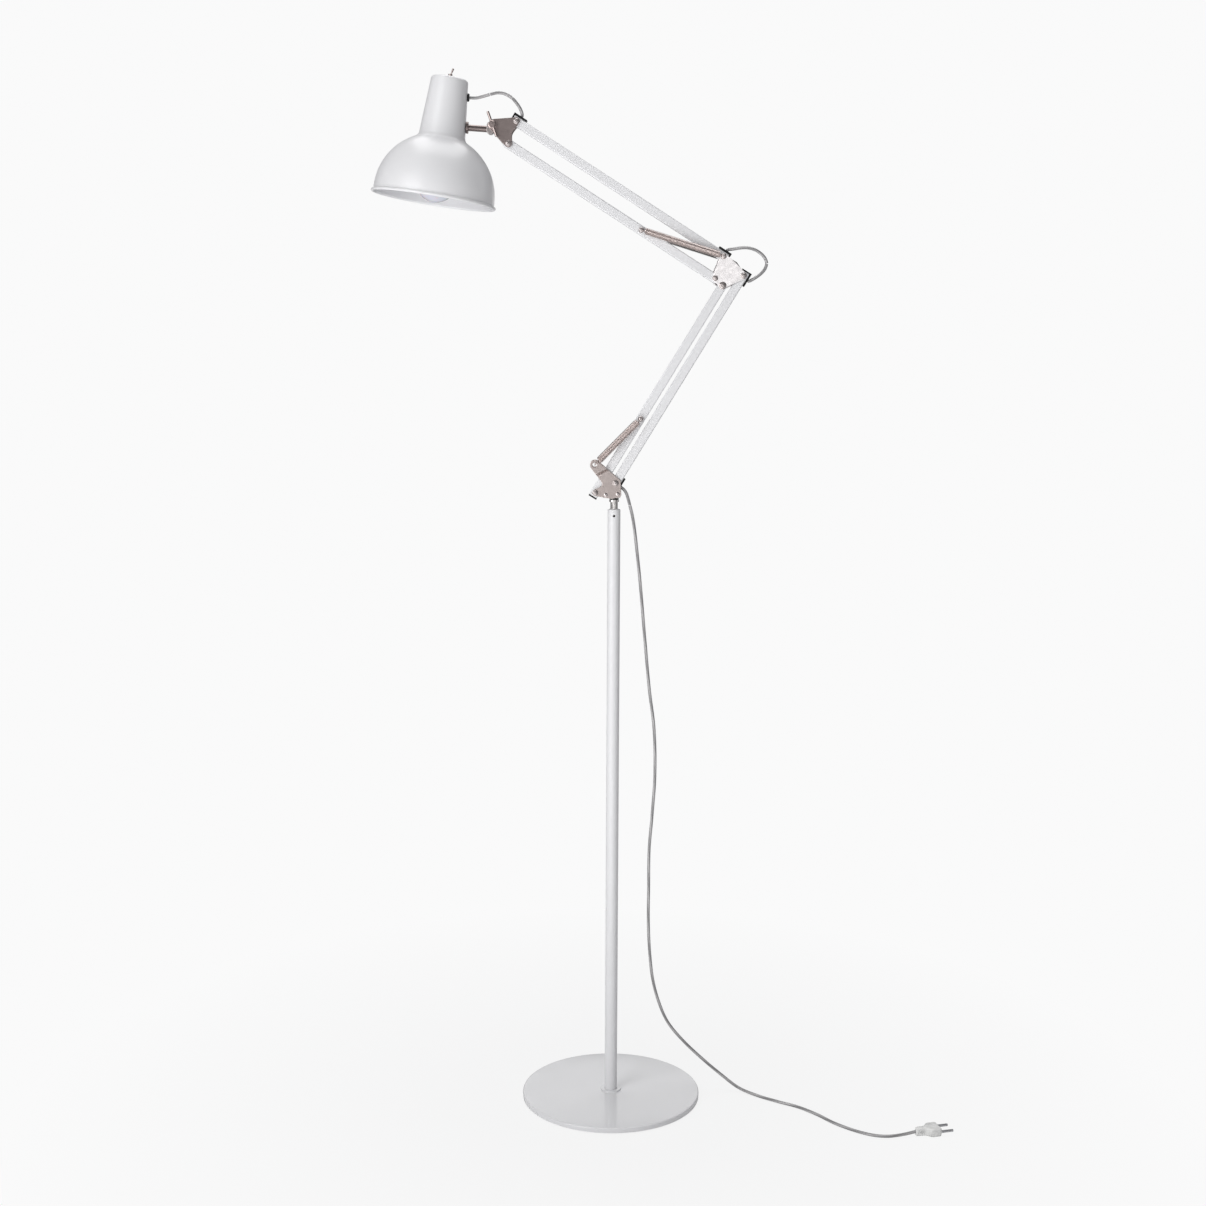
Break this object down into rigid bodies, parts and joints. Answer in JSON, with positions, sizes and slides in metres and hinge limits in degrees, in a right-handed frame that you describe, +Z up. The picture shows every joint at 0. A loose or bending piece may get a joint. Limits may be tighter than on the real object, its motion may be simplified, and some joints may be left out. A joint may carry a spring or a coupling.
{
  "type": "adjustable arm floor lamp",
  "caption": "Floor lamp with a round base plate and slim pole, a swivelling sprung parallel-bar arm, and a tilting dome shade with a tapered neck; its cord hangs beside the pole.",
  "frame": {"origin": "centre of the underside of the pad beneath the base plate, on the floor, on the pole's axis", "axes": "+Z up along the pole; the arm folds in the XZ plane with the shade towards -X; -Y is the front, the side with the head's clamp screw"},
  "size_m": [0.8639, 0.2854, 1.5532],
  "materials": {
    "white_paint": "gloss",
    "nickel": "polished",
    "nickel_dark": "polished",
    "spring_steel": "polished",
    "steel": "satin",
    "black_plastic": "satin",
    "white_plastic": "gloss",
    "foam_pad": "matte",
    "opal_glass": "gloss",
    "cord_jacket": "gloss"
  },
  "bodies": {
    "base": {"base_pad": "foam_pad", "base_plate": "white_paint", "base_bolt": "steel", "pole_tube": "white_paint", "pole_top_bush": "white_plastic", "pole_set_screw": "steel", "main_cord": "cord_jacket", "plug_body": "white_plastic", "plug_pin_left": "steel", "plug_pin_right": "steel"},
    "turret": {"swivel_post": "nickel", "swivel_washer": "black_plastic", "lower_bracket_front": "nickel", "lower_bracket_rear": "nickel", "bracket_rivet_left": "nickel", "bracket_rivet_right": "nickel", "lower_pivot_screw_left": "nickel", "lower_pivot_screw_right": "nickel", "lower_spring_front": "spring_steel", "lower_spring_rear": "spring_steel"},
    "lower_right": {"lower_arm_tube_right": "white_paint", "lower_arm_exit_cap": "black_plastic", "lower_arm_elbow_cap": "black_plastic", "main_cord_top": "cord_jacket", "elbow_cord_lower": "cord_jacket"},
    "lower_left": {"lower_arm_tube_left": "white_paint", "lower_arm_end_cap": "black_plastic", "lower_arm_round_plug": "black_plastic", "lower_spring_screw": "nickel"},
    "elbow": {"elbow_plate_front": "nickel", "elbow_plate_rear": "nickel", "elbow_web": "nickel", "elbow_screw_top": "nickel", "elbow_screw_left": "nickel", "elbow_screw_bottom": "nickel", "elbow_screw_right": "nickel", "upper_spring_front": "spring_steel", "upper_spring_rear": "spring_steel"},
    "upper_top": {"upper_arm_tube_top": "white_paint", "upper_arm_elbow_cap": "black_plastic", "upper_arm_head_cap": "black_plastic", "elbow_cord_upper": "cord_jacket", "head_cord_arm": "cord_jacket"},
    "upper_bottom": {"upper_arm_tube_bottom": "white_paint", "upper_arm_round_plug": "black_plastic", "upper_spring_screw": "nickel"},
    "head_bracket": {"head_plate_front": "nickel_dark", "head_plate_rear": "nickel_dark", "head_screw_top": "nickel_dark", "head_screw_bottom": "nickel_dark", "head_cord_bracket": "cord_jacket"},
    "clamp": {"clamp_tee": "nickel"},
    "stem": {"shade_stem": "nickel_dark"},
    "shade": {"shade_shell": "white_paint", "shade_grommet": "black_plastic", "toggle_switch": "nickel", "lampholder": "white_plastic", "bulb": "opal_glass", "head_cord_shade": "cord_jacket"},
    "toggle": {"toggle_lever": "nickel"}
  },
  "joints": [
    {"name": "turret_swivel", "type": "hinge", "parent": "base", "child": "turret", "pos_m": [0, 0, 0.92], "axis": [0, 0, 1], "range_deg": [-90, 90]},
    {"name": "lower_arm", "type": "hinge", "parent": "turret", "child": "lower_right", "pos_m": [0.0022, 0, 0.9587], "axis": [0, 1, 0], "range_deg": [-50, 9], "deforming": ["main_cord_top"]},
    {"name": "lower_left_follow", "type": "hinge", "parent": "turret", "child": "lower_left", "pos_m": [-0.02804, 0, 0.94428], "axis": [0, 1, 0], "range_deg": [-50, 9], "deforming": ["lower_spring_front", "lower_spring_rear"]},
    {"name": "elbow_level", "type": "hinge", "parent": "lower_right", "child": "elbow", "pos_m": [0.18663, 0, 1.26203], "axis": [0, 1, 0], "range_deg": [-9, 50], "deforming": ["elbow_cord_lower"]},
    {"name": "upper_arm", "type": "hinge", "parent": "elbow", "child": "upper_top", "pos_m": [0.1573, 0, 1.2896], "axis": [0, 1, 0], "range_deg": [-60, 50], "deforming": ["elbow_cord_upper"]},
    {"name": "upper_bottom_follow", "type": "hinge", "parent": "elbow", "child": "upper_bottom", "pos_m": [0.14557, 0, 1.25822], "axis": [0, 1, 0], "range_deg": [-60, 50], "deforming": ["upper_spring_front", "upper_spring_rear"]},
    {"name": "head_level", "type": "hinge", "parent": "upper_top", "child": "head_bracket", "pos_m": [-0.14394, 0, 1.4793], "axis": [0, 1, 0], "range_deg": [-50, 60], "deforming": ["head_cord_arm"]},
    {"name": "head_tilt", "type": "hinge", "parent": "head_bracket", "child": "stem", "pos_m": [-0.1782, 0, 1.4738], "axis": [0, 1, 0], "range_deg": [-30, 70], "deforming": ["head_cord_bracket"]},
    {"name": "clamp_turn", "type": "hinge", "parent": "head_bracket", "child": "clamp", "pos_m": [-0.1782, 0, 1.4738], "axis": [0, 1, 0], "range_deg": [-90, 90]},
    {"name": "shade_turn", "type": "hinge", "parent": "stem", "child": "shade", "pos_m": [-0.2173, 0, 1.4707], "axis": [0.9982, 0, -0.06], "range_deg": [-45, 45], "deforming": ["head_cord_shade"]},
    {"name": "toggle_flick", "type": "hinge", "parent": "shade", "child": "toggle", "pos_m": [-0.2392, 0, 1.54217], "axis": [0, 1, 0], "range_deg": [-30, 0]}
  ],
  "couplings": [
    {"joint": "lower_left_follow", "follows": "lower_arm", "ratio": 1},
    {"joint": "elbow_level", "follows": "lower_arm", "ratio": -1},
    {"joint": "upper_bottom_follow", "follows": "upper_arm", "ratio": 1},
    {"joint": "head_level", "follows": "upper_arm", "ratio": -1}
  ]
}
